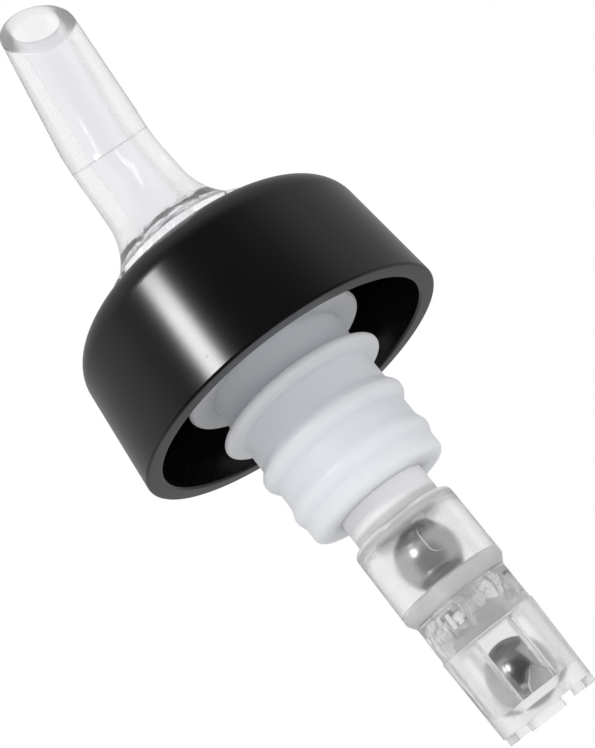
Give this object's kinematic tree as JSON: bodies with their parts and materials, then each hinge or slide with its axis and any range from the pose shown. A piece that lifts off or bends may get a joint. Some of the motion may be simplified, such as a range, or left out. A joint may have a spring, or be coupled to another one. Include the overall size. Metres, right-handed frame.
{
  "type": "measured liquor pourer",
  "caption": "Bottle pourer with a bent clear spout, a black collar cup, a finned stopper and a ball-valve metering cage that shuts off a measured pour.",
  "frame": {"origin": "on the stopper's axis, at the middle of its upper barb, where a bottle neck holds it", "axes": "+Z out of the bottle along the stopper's axis, the spout bends towards -Y, +X to the right seen from the front"},
  "size_m": [0.0384, 0.0384, 0.0981],
  "materials": {
    "clear_plastic": "clear moulded plastic, polished",
    "black_plastic": "gloss black moulding",
    "milky_plastic": "milky soft plastic, satin",
    "ball_steel": "polished bearing steel"
  },
  "bodies": {
    "pourer": {"spout": "clear_plastic", "collar": "black_plastic", "stopper": "milky_plastic", "stem_tube": "clear_plastic", "timing_chamber": "clear_plastic", "ball_cage": "clear_plastic", "metering_plug": "clear_plastic"},
    "valve_ball": {"valve_ball": "ball_steel"},
    "check_ball": {"check_ball": "ball_steel"}
  },
  "joints": [
    {"name": "valve_ball_run", "type": "slide", "parent": "pourer", "child": "valve_ball", "axis": [0, 0, 1], "range_m": [0, 0.0332]},
    {"name": "check_ball_lift", "type": "slide", "parent": "pourer", "child": "check_ball", "axis": [0, 0, 1], "range_m": [0, 0.0029]}
  ]
}
